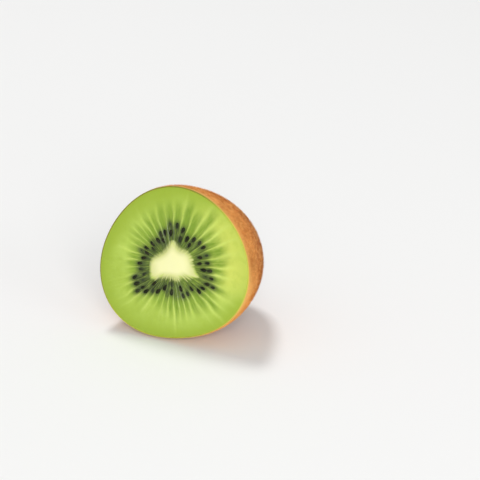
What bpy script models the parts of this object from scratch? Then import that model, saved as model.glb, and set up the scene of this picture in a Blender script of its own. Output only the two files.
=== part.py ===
"""Half of a green kiwi fruit, cut across the middle and lying on its side.

Each piece is built in the fruit's own frame, with the cut at z = 0 facing +Z and the stem end
towards -Z. An empty then lays the fruit down, so that the cut faces -Y and leans back a little.
Metres, +Z up, with the origin under the middle of the fruit, where it rests.
"""

import math
import random

import bmesh
import bpy
from mathutils import Matrix, Vector

MM = 0.001

# The fruit: a slightly oval section with three soft corners, and a blunt stem end
FRUIT_RADIUS = 25.6 * MM
OVAL = 1.15 * MM
OVAL_AT = math.radians(20)
CORNERS = 0.85 * MM
CORNERS_AT = math.radians(-20)
FRUIT_DEPTH = 36.0 * MM
SIDE_POWER = 1.65
END_POWER = 2.8
STEM_LEAN = 1.2 * MM
RIM_ROUND = 0.4 * MM
SIDE_RINGS = 11
SIDE_END = math.radians(77)

# How it lies: the cut leans back, and the side is pressed flat where it rests
LEAN_BACK = math.radians(14)
FLAT_SPOT_DEPTH = 0.75 * MM

# The stem scar at the far end: radius and lift of each ring, as a trough round a low button
SCAR = ((7.3, -0.3), (6.4, -0.7), (5.6, 0.2), (4.5, 0.4), (3.1, -0.3), (1.5, 0.2))
SCAR_CENTRE_LIFT = 0.4 * MM

# The pale core: its outline's points, as degrees and millimetres from the middle of the cut
CORE_OUTLINE = (
    (11, 7.0),
    (26, 7.0),
    (45, 6.7),
    (68, 5.6),
    (83, 6.2),
    (95, 7.8),
    (107, 6.0),
    (130, 4.8),
    (158, 5.6),
    (176, 7.3),
    (191, 8.0),
    (205, 8.6),
    (220, 9.7),
    (228, 6.5),
    (240, 4.6),
    (280, 3.9),
    (309, 4.8),
    (331, 5.6),
    (341, 8.2),
    (347, 9.8),
    (357, 8.4),
)
CORE_DEPTH = 26.0 * MM
CORE_LEVELS = (0.9, 0.75, 0.55, 0.3, 0.0)
CORE_EDGE = 0.35 * MM
CORE_CROWN = ((1.0, 0.1 * MM), (0.55, 0.3 * MM))
CORE_TIP = 0.97
FIT_GAP = 0.3 * MM

# The seed chambers: narrow hollows between thin walls that fan out from the core
CHAMBERS = 35
CHAMBER_STEPS = (0.0, 0.22, 0.5, 0.78)
CHAMBER_PROFILE = ((0.0, 0.0), (0.1, 1.0), (0.42, 1.0), (0.74, 0.6), (1.0, 0.0))
CHAMBER_HOLLOW = 0.4 * MM
CHAMBER_START = 0.8 * MM
CHAMBER_REACH = 18.4 * MM
CHAMBER_REACH_SPREAD = 1.3 * MM
CHAMBER_WALL_SPREAD = 0.14

# The seeds: flattened drops, one or two to a chamber, with the point towards the core
SEED_LENGTH = 2.4 * MM
SEED_WIDTH = 1.35 * MM
SEED_HEIGHT = 1.2 * MM
SEED_SECTIONS = ((0.25, 0.62), (0.6, 1.0), (0.87, 0.75))
SEED_SIDES = 6
SEED_LEVEL = -0.3 * MM
SEED_RING_SCALE = 1.15
SEED_RING_OUT = 2.8 * MM
SEED_RING_BLUR = math.radians(18)
SEED_CLEAR = 0.6 * MM
SEED_CLEAR_ANGLE = math.radians(6)
SEED_STAGGER = 0.9 * MM
SEED_PAIR_STEP = 3.1 * MM
SEED_PAIR_SHARE = 0.5
SEED_SPREAD = 0.5 * MM
SEED_TURN_SPREAD = math.radians(14)

RANDOM_SEED = 11
SHARP_ANGLE = math.radians(50)

FLESH_GREEN = (0.42, 0.60, 0.08)
SKIN_BROWN = (0.42, 0.19, 0.07)
SEED_BLACK = (0.012, 0.010, 0.007)
CORE_CREAM = (0.86, 0.85, 0.50)


def material(name, colour, roughness):
    made = bpy.data.materials.new(name)
    made.use_nodes = True
    made.diffuse_color = (*colour, 1.0)
    shader = made.node_tree.nodes["Principled BSDF"]
    shader.inputs["Base Color"].default_value = (*colour, 1.0)
    shader.inputs["Roughness"].default_value = roughness
    shader.inputs["Metallic"].default_value = 0.0
    return made


def polar(radius, angle, height=0.0):
    return Vector((radius * math.cos(angle), radius * math.sin(angle), height))


def loft(name, rings, first_pole, last_pole, slots):
    """A closed mesh through rings of as many points each, with a pole at either end.

    slots gives the material of the band that follows each ring; the first band joins the first pole.
    """
    shape = bmesh.new()
    loops = [[shape.verts.new(point) for point in ring] for ring in rings]
    poles = (shape.verts.new(first_pole), shape.verts.new(last_pole))
    count = len(loops[0])
    for i in range(count):
        j = (i + 1) % count
        bands = [(poles[0], loops[0][i], loops[0][j])]
        bands += [(near[j], near[i], far[i], far[j]) for near, far in zip(loops, loops[1:])]
        bands.append((poles[1], loops[-1][j], loops[-1][i]))
        for corners, slot in zip(bands, (slots[0], *slots)):
            shape.faces.new(corners).material_index = slot
    bmesh.ops.recalc_face_normals(shape, faces=shape.faces)
    mesh = bpy.data.meshes.new(name)
    shape.to_mesh(mesh)
    shape.free()
    return mesh


def add_object(mesh, materials, collection):
    made = bpy.data.objects.new(mesh.name, mesh)
    collection.objects.link(made)
    for item in materials:
        mesh.materials.append(item)
    return made


def section_radius(angle, irregular=1.0):
    """The fruit's radius at an angle. irregular runs from 1 at the cut to 0 at the round stem end."""
    oval = OVAL * math.cos(2 * (angle - OVAL_AT))
    corners = CORNERS * math.cos(3 * (angle - CORNERS_AT))
    return FRUIT_RADIUS + irregular * (oval + corners)


def body_ring(angles, share, lift=0.0):
    """The ring of the fruit's side that has drawn in to this share of the radius at the cut."""
    along = (1 - share**END_POWER) ** (1 / SIDE_POWER)
    height = -FRUIT_DEPTH * along - lift
    lean = Vector((STEM_LEAN * along, 0.0, 0.0))
    return [polar(section_radius(angle, 1 - along) * share, angle, height) + lean for angle in angles]


def core_radius(angle):
    """A smooth closed curve through CORE_OUTLINE."""
    turn = math.degrees(angle) % 360
    count = len(CORE_OUTLINE)
    after = next((i for i, point in enumerate(CORE_OUTLINE) if point[0] > turn), count)
    near = []
    for index in range(after - 2, after + 2):
        degrees, reach = CORE_OUTLINE[index % count]
        near.append((degrees + 360 * (index // count), reach))
    (a0, r0), (a1, r1), (a2, r2), (a3, r3) = near
    t = (turn - a1) / (a2 - a1)
    leave = (r2 - r0) / (a2 - a0) * (a2 - a1)
    arrive = (r3 - r1) / (a3 - a1) * (a2 - a1)
    from_first = r1 * (2 * t**3 - 3 * t**2 + 1) + leave * (t**3 - 2 * t**2 + t)
    from_second = r2 * (3 * t**2 - 2 * t**3) + arrive * (t**3 - t**2)
    return (from_first + from_second) * MM


def core_edge(angle, outwards):
    """A point on the core's outline, moved square to the outline by outwards."""
    step = math.radians(1)
    before = polar(core_radius(angle - step), angle - step)
    after = polar(core_radius(angle + step), angle + step)
    along = (after - before).normalized()
    return polar(core_radius(angle), angle) + Vector((along.y, -along.x, 0.0)) * outwards


def core_middle(level):
    """The core's axis at a share of its depth: it leans with the fruit."""
    return Vector((STEM_LEAN * level * CORE_DEPTH / FRUIT_DEPTH, 0.0, -CORE_DEPTH * level))


def core_ring(angles, level, outwards):
    """The core's outline at a share of its depth, where it has narrowed."""
    return [core_edge(angle, outwards) * (1 - level**2) + core_middle(level) for angle in angles]


def chamber_walls():
    """The angles of each chamber's two walls, and how far out it reaches."""
    draw = random.Random(RANDOM_SEED)
    pitch = 2 * math.pi / CHAMBERS
    walls = [(i + draw.uniform(-1, 1) * CHAMBER_WALL_SPREAD) * pitch for i in range(CHAMBERS)]
    reaches = [CHAMBER_REACH + draw.uniform(-1, 1) * CHAMBER_REACH_SPREAD for _ in range(CHAMBERS)]
    return list(zip(walls, [*walls[1:], walls[0] + 2 * math.pi], reaches))


def spokes():
    """The cut's radial lines: each one's angle, how far its chamber reaches, and its hollow."""
    lines = []
    for wall, next_wall, reach in chamber_walls():
        for step in CHAMBER_STEPS:
            hollow = CHAMBER_HOLLOW if step else 0.0
            lines.append((wall + (next_wall - wall) * step, reach, hollow))
    return lines


def core_mesh():
    """The woody core: a spindle that runs in from the cut, with a low crown on its cut end."""
    angles = [line[0] for line in spokes()[::2]]
    rings = [core_ring(angles, level, -FIT_GAP / 2) for level in CORE_LEVELS]
    rings[-1] = [point - Vector((0.0, 0.0, CORE_EDGE)) for point in rings[-1]]
    rim = [core_edge(angle, -FIT_GAP / 2 - CORE_EDGE) for angle in angles]
    for inset, height in CORE_CROWN:
        rings.append([point * inset + Vector((0.0, 0.0, height)) for point in rim])
    crown = Vector((0.0, 0.0, CORE_CROWN[-1][1]))
    return loft("core", rings, core_middle(CORE_TIP), crown, [0] * len(rings))


def flesh_mesh():
    """The flesh in its skin: the core's hollow, the cut with its chambers, the side and the scar."""
    lines = spokes()
    angles = [line[0] for line in lines]
    rings = [core_ring(angles, level, FIT_GAP / 2) for level in CORE_LEVELS]
    for share, hollow_share in CHAMBER_PROFILE:
        ring = []
        for angle, reach, hollow in lines:
            start = core_radius(angle) + CHAMBER_START
            ring.append(polar(start + (reach - start) * share, angle, -hollow * hollow_share))
        rings.append(ring)
    rings.append([polar(section_radius(angle) - RIM_ROUND, angle) for angle in angles])
    slots = [0] * len(rings)
    for drop in (0.3, 1.0):
        inset = RIM_ROUND * (1 - drop) ** 2
        rings.append([polar(section_radius(angle) - inset, angle, -RIM_ROUND * drop) for angle in angles])
    for k in range(1, SIDE_RINGS + 1):
        rings.append(body_ring(angles, math.cos(SIDE_END * k / SIDE_RINGS) ** (2 / END_POWER)))
    for radius, lift in SCAR:
        rings.append(body_ring(angles, radius * MM / FRUIT_RADIUS, lift * MM))
    slots += [1] * (len(rings) - len(slots))
    stem_end = Vector((STEM_LEAN, 0.0, -FRUIT_DEPTH - SCAR_CENTRE_LIFT))
    return loft("flesh", rings, core_middle(1.0), stem_end, slots)


def seed_ring_radius(angle):
    """The seeds lie on a ring that follows the core's points loosely."""
    turns = (angle - SEED_RING_BLUR, angle, angle + SEED_RING_BLUR)
    return SEED_RING_SCALE * sum(core_radius(turn) for turn in turns) / len(turns) + SEED_RING_OUT


def least_seed_radius(angle):
    """As near to the middle as a seed can lie with its point clear of the core."""
    near = (angle - SEED_CLEAR_ANGLE, angle, angle + SEED_CLEAR_ANGLE)
    return max(core_radius(turn) for turn in near) + SEED_CLEAR + SEED_LENGTH / 2


def seed_mesh(place, turn):
    """One seed: a drop of a few sides, its point at the start and its round end outwards."""
    rings = []
    for along, width in SEED_SECTIONS:
        ring = []
        for k in range(SEED_SIDES):
            side = 2 * math.pi * k / SEED_SIDES
            across = SEED_WIDTH / 2 * width * math.cos(side)
            height = SEED_HEIGHT / 2 * width * math.sin(side)
            ring.append(Vector(((along - 0.5) * SEED_LENGTH, across, height)))
        rings.append(ring)
    tip = Vector((-SEED_LENGTH / 2, 0.0, 0.0))
    mesh = loft("seed", rings, tip, -tip, [0] * len(rings))
    mesh.transform(Matrix.Translation(place) @ Matrix.Rotation(turn, 4, "Z"))
    return mesh


def scatter_seeds(black):
    """Every seed, in a collection of its own."""
    draw = random.Random(RANDOM_SEED + 1)
    seeds = bpy.data.collections.new("seeds")
    bpy.context.scene.collection.children.link(seeds)
    for i, (wall, next_wall, _reach) in enumerate(chamber_walls()):
        angle = (wall + next_wall) / 2
        middle = seed_ring_radius(angle) + (SEED_STAGGER if i % 2 else -SEED_STAGGER)
        pair = draw.random() < SEED_PAIR_SHARE
        first = middle - SEED_PAIR_STEP / 2 if pair else middle
        first = max(first + draw.uniform(-1, 1) * SEED_SPREAD, least_seed_radius(angle))
        for radius in (first, first + SEED_PAIR_STEP) if pair else (first,):
            turn = angle + draw.uniform(-1, 1) * SEED_TURN_SPREAD
            add_object(seed_mesh(polar(radius, angle, SEED_LEVEL), turn), [black], seeds)
    return seeds


def fuse(solid, pieces):
    """Joins every piece of a collection to the solid and removes the pieces."""
    join = solid.modifiers.new("fused", "BOOLEAN")
    join.operand_type = "COLLECTION"
    join.collection = pieces
    join.operation = "UNION"
    join.solver = "EXACT"
    join.material_mode = "TRANSFER"
    bpy.context.view_layer.update()
    evaluated = solid.evaluated_get(bpy.context.evaluated_depsgraph_get())
    fused = bpy.data.meshes.new_from_object(evaluated)
    solid.modifiers.clear()
    solid.data = fused
    for piece in list(pieces.objects):
        bpy.data.objects.remove(piece)
    bpy.data.collections.remove(pieces)


def press_flat(mesh, up, floor):
    """Cuts the mesh off below a level along up, and closes it with one flat face."""
    shape = bmesh.new()
    shape.from_mesh(mesh)
    cut = bmesh.ops.bisect_plane(
        shape,
        geom=[*shape.verts, *shape.edges, *shape.faces],
        dist=1e-7,
        plane_co=up * floor,
        plane_no=up,
        clear_inner=True,
    )
    edges = [item for item in cut["geom_cut"] if isinstance(item, bmesh.types.BMEdge)]
    for edge in edges:
        edge.smooth = False
    for face in bmesh.ops.contextual_create(shape, geom=edges)["faces"]:
        face.material_index = 1
        face.smooth = True
    bmesh.ops.recalc_face_normals(shape, faces=shape.faces)
    shape.to_mesh(mesh)
    shape.free()


def lay_down(flesh, core):
    """Parents the fruit to an empty that lays it on its side, with its flat spot on the ground."""
    laid = Matrix.Rotation(math.pi / 2 - LEAN_BACK, 4, "X")
    points = [laid @ vertex.co for vertex in flesh.data.vertices]
    floor = min(point.z for point in points) + FLAT_SPOT_DEPTH
    for piece in (flesh, core):
        piece.data.shade_smooth()
        piece.data.set_sharp_from_angle(angle=SHARP_ANGLE)
    press_flat(flesh.data, laid.inverted() @ Vector((0.0, 0.0, 1.0)), floor)
    middle_x, middle_y = ((min(values) + max(values)) / 2 for values in zip(*(p.xy for p in points)))
    rest = bpy.data.objects.new("kiwi_half", None)
    bpy.context.scene.collection.objects.link(rest)
    rest.matrix_world = Matrix.Translation((-middle_x, -middle_y, -floor)) @ laid
    flesh.parent = rest
    core.parent = rest


def main():
    for old in list(bpy.data.objects):
        bpy.data.objects.remove(old)
    green = material("flesh_green", FLESH_GREEN, 0.35)
    brown = material("skin_brown", SKIN_BROWN, 0.85)
    black = material("seed_black", SEED_BLACK, 0.25)
    cream = material("core_cream", CORE_CREAM, 0.45)
    scene = bpy.context.scene.collection
    flesh = add_object(flesh_mesh(), [green, brown], scene)
    core = add_object(core_mesh(), [cream], scene)
    fuse(flesh, scatter_seeds(black))
    lay_down(flesh, core)


main()
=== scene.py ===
"""Half of a green kiwi fruit, lying on its side with its cut leaning back a little.

Each piece is shaped round the fruit's own axis first, with the cut at z = 0 and the stem end below
it, and is then laid down where its solid lies. Lengths are in metres, and materials work in
millimetres.
"""

import math
import random

import bmesh
import bpy
import numpy as np
from mathutils import Matrix, Vector, noise


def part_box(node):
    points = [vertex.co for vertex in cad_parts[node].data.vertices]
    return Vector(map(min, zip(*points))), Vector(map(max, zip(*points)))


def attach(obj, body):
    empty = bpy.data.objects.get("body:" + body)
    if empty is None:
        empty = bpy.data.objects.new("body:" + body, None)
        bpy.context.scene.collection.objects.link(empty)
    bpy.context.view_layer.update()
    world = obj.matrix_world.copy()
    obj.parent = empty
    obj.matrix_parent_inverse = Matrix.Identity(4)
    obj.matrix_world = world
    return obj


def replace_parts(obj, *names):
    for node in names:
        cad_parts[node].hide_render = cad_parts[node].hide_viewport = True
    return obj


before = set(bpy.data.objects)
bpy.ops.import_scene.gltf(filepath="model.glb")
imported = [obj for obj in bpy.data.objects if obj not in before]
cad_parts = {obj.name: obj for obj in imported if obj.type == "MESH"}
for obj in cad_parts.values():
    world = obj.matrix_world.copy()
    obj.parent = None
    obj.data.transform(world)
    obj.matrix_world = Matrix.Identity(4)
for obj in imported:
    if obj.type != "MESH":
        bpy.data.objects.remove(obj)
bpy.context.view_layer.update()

# The flesh. Crisp green fruit flesh, laid open by one stroke of a knife across the fruit. Pale rays
# run out between narrow chambers of dark jelly, which hold the seeds. It fills the skin, and the
# core grows in a hollow in its middle.
MM = 0.001
FULL_TURN = 2 * math.pi
FRUIT_RADIUS = 25.6 * MM
OVAL = 1.15 * MM
OVAL_AT = math.radians(20)
CORNERS = 0.85 * MM
CORNERS_AT = math.radians(-20)
FRUIT_DEPTH = 36.0 * MM
SIDE_POWER = 1.65
END_POWER = 2.8
STEM_LEAN = 1.2 * MM
LEAN_BACK = math.radians(14)
SKIN_THICKNESS = 0.3 * MM
SCAR_ROOM_RADIUS = 9 * MM
SCAR_ROOM_DEPTH = 1.5 * MM
FLESH_OFF_TABLE = 1.2 * SKIN_THICKNESS
SHARP_EDGE = math.radians(60)
CORE_ROUND = 6.5 * MM
CORE_DEPTH = 26.0 * MM
# The core's outline on the cut: angles in degrees, each with the radius there in mm.
CORE_OUTLINE = (
    (11, 7.2),
    (26, 7.2),
    (45, 6.9),
    (68, 5.6),
    (83, 6.2),
    (95, 7.8),
    (107, 6.0),
    (130, 4.8),
    (158, 5.6),
    (176, 7.3),
    (191, 8.0),
    (205, 8.4),
    (219, 9.0),
    (228, 6.4),
    (240, 4.6),
    (280, 3.9),
    (309, 4.8),
    (331, 5.6),
    (341, 8.2),
    (347, 9.8),
    (357, 8.4),
)
# The seed chambers: an angle in degrees, and the seeds held there. Each seed is a radius in mm and
# the share of it that the knife has bared.
CHAMBERS_AND_SEEDS = (
    (2.0, ((11.0, 1.0), (13.1, 0.7))),
    (13.0, ((9.6, 1.0), (12.4, 0.9))),
    (24.0, ((10.2, 1.0), (12.6, 0.4))),
    (36.5, ((12.6, 0.9),)),
    (45.0, ((12.2, 0.5),)),
    (55.0, ((9.0, 1.0), (11.4, 0.8))),
    (65.5, ((10.1, 1.0),)),
    (78.0, ((8.9, 0.7), (12.0, 0.9))),
    (88.5, ((12.9, 0.8),)),
    (99.5, ((10.3, 1.0), (13.1, 0.3))),
    (111.0, ((10.7, 1.0),)),
    (119.5, ((8.4, 1.0), (10.6, 0.6))),
    (130.0, ((9.1, 0.9),)),
    (137.5, ()),
    (144.0, ((9.6, 0.9),)),
    (151.0, ((8.3, 0.6),)),
    (158.0, ((10.6, 0.9),)),
    (166.5, ((9.7, 0.9), (11.8, 0.3))),
    (177.0, ((10.5, 1.0),)),
    (187.0, ((11.8, 0.9),)),
    (196.5, ((11.6, 0.6),)),
    (205.5, ((10.8, 0.6), (14.5, 0.9))),
    (214.0, ((11.9, 0.2), (14.7, 0.9))),
    (222.5, ((13.4, 0.9), (15.6, 0.6))),
    (230.0, ((9.2, 1.0), (13.2, 1.0))),
    (238.0, ((11.3, 0.3),)),
    (245.5, ((10.2, 1.0),)),
    (256.5, ((7.9, 1.0),)),
    (265.0, ()),
    (274.0, ((6.1, 0.4), (8.8, 0.8))),
    (283.0, ()),
    (290.5, ()),
    (298.0, ((7.9, 1.0), (10.3, 0.6))),
    (308.0, ((10.3, 0.6),)),
    (320.0, ((9.8, 0.9),)),
    (327.0, ((12.1, 1.0),)),
    (334.5, ((12.6, 1.0),)),
    (343.0, ((13.3, 0.9), (15.6, 0.7))),
    (352.5, ((12.0, 0.3), (14.2, 0.9))),
)
CHAMBERS = len(CHAMBERS_AND_SEEDS)
CHAMBER_REACH = 18.1 * MM
CHAMBER_REACH_SWING = 2.4 * MM
LONGEST_AT = math.radians(40)
CHAMBER_REACH_SPREAD = 0.9 * MM
REACH_PAST_SEEDS = 4.2 * MM
EMPTY_CHAMBER_JELLY = 10.8 * MM
JELLY_FADE_FROM = -1.2 * MM
JELLY_FADE_TO = 2.2 * MM
JELLY_BULGE = 0.9 * MM
JELLY_BULGE_AT = 217
UPWARD = 92
RIGHTWARD = -5
# The least and most that each chamber draws: how strongly its jelly, dark streak and pale ray show,
# how far out they run, as a share of its reach, and how wide its ray is.
JELLY_STRENGTHS = (0.78, 1.0)
STREAK_STRENGTHS = (0.72, 1.0)
STREAK_LENGTHS = (1.0, 1.25)
RAY_STRENGTHS = (0.25, 0.7)
RAY_LENGTHS = (1.15, 1.5)
RAY_WIDTHS = (0.6, 1.3)
STREAK_FADE = 0.45
RAY_FADE = 0.7
RAY_SWAY = math.radians(1.6)
RAY_START_WIDTH = 0.10 * MM
RAY_WIDENING = 0.6 * MM
CHAMBER_HOLLOW = 0.26 * MM
SEED_TURN = math.radians(14)
SEED_SHADE_LENGTH = 1.75 * MM
SEED_SHADE_WIDTH = 1.05 * MM
RANDOM_SEED = 11
CUT_SPOKES = 720
CUT_RINGS = 84
SECTORS = 16
CUT_WAVE = 0.06 * MM
FIBRE_RELIEF = 0.03 * MM


def section_radius(angle, irregular=1.0):
    """The fruit's radius at an angle. irregular runs from 1 at the cut to 0 at the round stem end."""
    oval = OVAL * np.cos(2 * (angle - OVAL_AT))
    corners = CORNERS * np.cos(3 * (angle - CORNERS_AT))
    return FRUIT_RADIUS + irregular * (oval + corners)


def side_profile(turns, inset=0.0):
    """Radius and height down the fruit's side: turn 0 is at the cut, a quarter turn at the end."""
    share = np.cos(np.minimum(turns, math.pi / 2)) ** (2 / END_POWER)
    depth = FRUIT_DEPTH * (1 - share**END_POWER) ** (1 / SIDE_POWER)
    return np.stack([FRUIT_RADIUS * share, -depth], axis=1) * (1 - inset / FRUIT_RADIUS)


def to_form(spots):
    """Places on the round fruit, pushed out to its oval, softly cornered section and its lean."""
    angle = np.arctan2(spots[:, 1], spots[:, 0])
    along = np.clip(-spots[:, 2] / FRUIT_DEPTH, 0, 1)
    stretch = section_radius(angle, 1 - along) / FRUIT_RADIUS
    x = spots[:, 0] * stretch + STEM_LEAN * along
    return np.stack([x, spots[:, 1] * stretch, spots[:, 2]], axis=1)


def on_skin(turns, angles):
    """Places on the skin's outside, from turns down its side and angles round it."""
    radius, height = side_profile(turns).T
    return to_form(np.stack([radius * np.cos(angles), radius * np.sin(angles), height], axis=1))


def lay_matrix():
    """Turns the fruit onto its side, and sets it where the flesh's solid is.

    The fruit's outermost places are found at every degree down its side and round it.
    """
    turned = Matrix.Rotation(math.pi / 2 - LEAN_BACK, 4, "X")
    turns, angles = np.meshgrid(np.arange(88), np.arange(360), indexing="ij")
    outside = on_skin(np.radians(turns.ravel()), np.radians(angles.ravel()))
    outside = outside @ np.array(turned.to_3x3()).T
    least, most = outside.min(axis=0), outside.max(axis=0)
    low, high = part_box("flesh")
    middle_x = (low.x + high.x - least[0] - most[0]) / 2
    return Matrix.Translation((middle_x, low.y - least[1], high.z - most[2])) @ turned


laid = lay_matrix()
cut_middle = laid.translation.copy()


def core_radius(angle):
    """A smooth closed curve through CORE_OUTLINE, at an array of angles."""
    degrees, reach = np.array(CORE_OUTLINE, float).T
    degrees = np.concatenate([degrees[-2:] - 360, degrees, degrees[:3] + 360])
    reach = np.concatenate([reach[-2:], reach, reach[:3]])
    turn = np.degrees(angle) % 360
    i = np.searchsorted(degrees, turn, side="right") - 1
    step = degrees[i + 1] - degrees[i]
    t = (turn - degrees[i]) / step
    leave = (reach[i + 1] - reach[i - 1]) / (degrees[i + 1] - degrees[i - 1]) * step
    arrive = (reach[i + 2] - reach[i]) / (degrees[i + 2] - degrees[i]) * step
    from_first = reach[i] * (2 * t**3 - 3 * t**2 + 1) + leave * (t**3 - 2 * t**2 + t)
    from_second = reach[i + 1] * (3 * t**2 - 2 * t**3) + arrive * (t**3 - t**2)
    return (from_first + from_second) * MM


chamber_angles = np.radians([angle for angle, _ in CHAMBERS_AND_SEEDS])
angles_before = np.roll(chamber_angles, 1)
angles_before[0] -= FULL_TURN
walls = (chamber_angles + angles_before) / 2
chamber_draw = random.Random(RANDOM_SEED + 5)


def draw_each(low, high):
    """A random number for each chamber."""
    return np.array([chamber_draw.uniform(low, high) for _ in range(CHAMBERS)])


def pointing(degrees):
    """How nearly each chamber points at an angle: 1 straight at it, 0 from a quarter turn away."""
    return np.maximum(np.cos(chamber_angles - math.radians(degrees)), 0.0)


reaches = CHAMBER_REACH + CHAMBER_REACH_SWING * np.cos(chamber_angles - LONGEST_AT)
reaches += draw_each(-1, 1) * CHAMBER_REACH_SPREAD
seed_ends = np.array([max((r for r, _ in held), default=0) * MM for _, held in CHAMBERS_AND_SEEDS])
seed_ends[seed_ends == 0] = EMPTY_CHAMBER_JELLY
seed_ends += JELLY_BULGE * pointing(JELLY_BULGE_AT) ** 8
reaches = np.maximum(reaches, seed_ends + REACH_PAST_SEEDS)
# The jelly is paler on the right as painted light, and the streaks and rays are longer and stronger
# above and right.
upward, rightward = pointing(UPWARD), pointing(RIGHTWARD)
jelly_strength = draw_each(*JELLY_STRENGTHS) - 0.33 * pointing(0)
streak_strength = draw_each(*STREAK_STRENGTHS) + 0.2 * upward + 0.14 * rightward
streak_length = draw_each(*STREAK_LENGTHS) + 0.15 * upward**4 + 0.1 * rightward
ray_strength = draw_each(*RAY_STRENGTHS) - 0.15 * upward + 0.2 * rightward
ray_length = draw_each(*RAY_LENGTHS) + 0.15 * rightward
ray_width = draw_each(*RAY_WIDTHS)


def seed_spots():
    """Where each seed lies: radius, angle, turn and how much of it is bared."""
    draw = random.Random(RANDOM_SEED + 1)
    found = []
    for angle, (_, held) in zip(chamber_angles, CHAMBERS_AND_SEEDS):
        for radius, bared in held:
            found.append((radius * MM, angle, angle + draw.uniform(-1, 1) * SEED_TURN, bared))
    return found


seeds = seed_spots()


def smooth(values, start, end):
    """Runs smoothly from 0 at start to 1 at end."""
    t = np.clip((values - start) / (end - start), 0, 1)
    return t * t * (3 - 2 * t)


def radial_noise(angle, radius, turns, steps, seed):
    """Noise in long streaks from the axis.

    turns sets how many streaks go round, and steps how fast they change outwards, in mm.
    """
    around = zip(np.cos(angle) * turns, np.sin(angle) * turns, radius / MM * steps + seed)
    return np.array([noise.noise(spot) for spot in around])


def plain_noise(spots, size, seed):
    """Smooth noise over places, in lumps of about this size."""
    return np.array([noise.noise(Vector(spot) / size + Vector((seed, 0, 0))) for spot in spots])


def spun_mesh(name, profile, spokes):
    """A closed round solid: a profile of radius and height, from axis to axis, spun about the axis.

    It is spun through one sector in small steps, and the sector is then repeated all the way round.
    """
    shape = bmesh.new()
    points = [shape.verts.new((radius, 0.0, height)) for radius, height in profile]
    edges = [shape.edges.new(pair) for pair in zip(points, points[1:])]
    sector = FULL_TURN / SECTORS
    about = {"cent": (0, 0, 0), "axis": (0, 0, 1)}
    bmesh.ops.spin(shape, geom=[*points, *edges], angle=sector, steps=spokes // SECTORS, **about)
    whole = [*shape.verts, *shape.edges, *shape.faces]
    bmesh.ops.spin(
        shape, geom=whole, angle=FULL_TURN - sector, steps=SECTORS - 1, use_duplicate=True, **about
    )
    bmesh.ops.remove_doubles(shape, verts=shape.verts, dist=1e-6)
    bmesh.ops.recalc_face_normals(shape, faces=shape.faces)
    mesh = bpy.data.meshes.new(name)
    shape.to_mesh(mesh)
    shape.free()
    return mesh


def get_spots(mesh):
    """The places of a mesh's points."""
    found = np.empty(len(mesh.vertices) * 3, np.float32)
    mesh.vertices.foreach_get("co", found)
    return found.reshape(-1, 3).astype(float)


def mark(mesh, name, values):
    """Keeps a number for each point of a mesh, for its material to read."""
    mesh.attributes.new(name, "FLOAT", "POINT").data.foreach_set("value", values.astype(np.float32))


def lay_down(spots):
    """Places in the fruit's frame, laid down on the table."""
    return spots @ np.array(laid.to_3x3()).T + np.array(cut_middle)


def set_spots(mesh, spots, least_height):
    """Sets a mesh's places, pressed flat where they would sink into the table."""
    spots[:, 2] = np.maximum(spots[:, 2], least_height)
    mesh.vertices.foreach_set("co", spots.astype(np.float32).ravel())
    mesh.update()


def finish_piece(mesh, material):
    """Makes a laid mesh a piece of the object."""
    mesh.shade_smooth()
    mesh.set_sharp_from_angle(angle=SHARP_EDGE)
    mesh.materials.append(material)
    piece = bpy.data.objects.new(mesh.name, mesh)
    bpy.context.scene.collection.objects.link(piece)
    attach(piece, "root")
    return piece


def core_edge_distance(places, sharpness=2.5):
    """How far places are from the core's edge, in mm, with no crease midway between two sides."""
    angles = np.radians(np.arange(360))
    edge = core_radius(angles)[:, None] * np.stack([np.cos(angles), np.sin(angles)], axis=1) / MM
    lengths = np.linalg.norm(np.roll(edge, -1, axis=0) - np.roll(edge, 1, axis=0), axis=1) / 2
    total = np.zeros(len(places))
    for spot, length in zip(edge, lengths):
        total += length * np.exp(-sharpness * np.linalg.norm(places / MM - spot, axis=1))
    return np.maximum(-np.log(total * sharpness / 2 + 1e-30) / sharpness, 0.0)


def seed_shade(x, y):
    """Dark jelly close round each seed."""
    shade = np.zeros(len(x))
    for radius, angle, turn, _ in seeds:
        dx = x - radius * math.cos(angle)
        dy = y - radius * math.sin(angle)
        along = (dx * math.cos(turn) + dy * math.sin(turn)) / SEED_SHADE_LENGTH
        across = (dy * math.cos(turn) - dx * math.sin(turn)) / SEED_SHADE_WIDTH
        shade = np.maximum(shade, np.exp(-(along**2) - across**2))
    return shade


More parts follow.
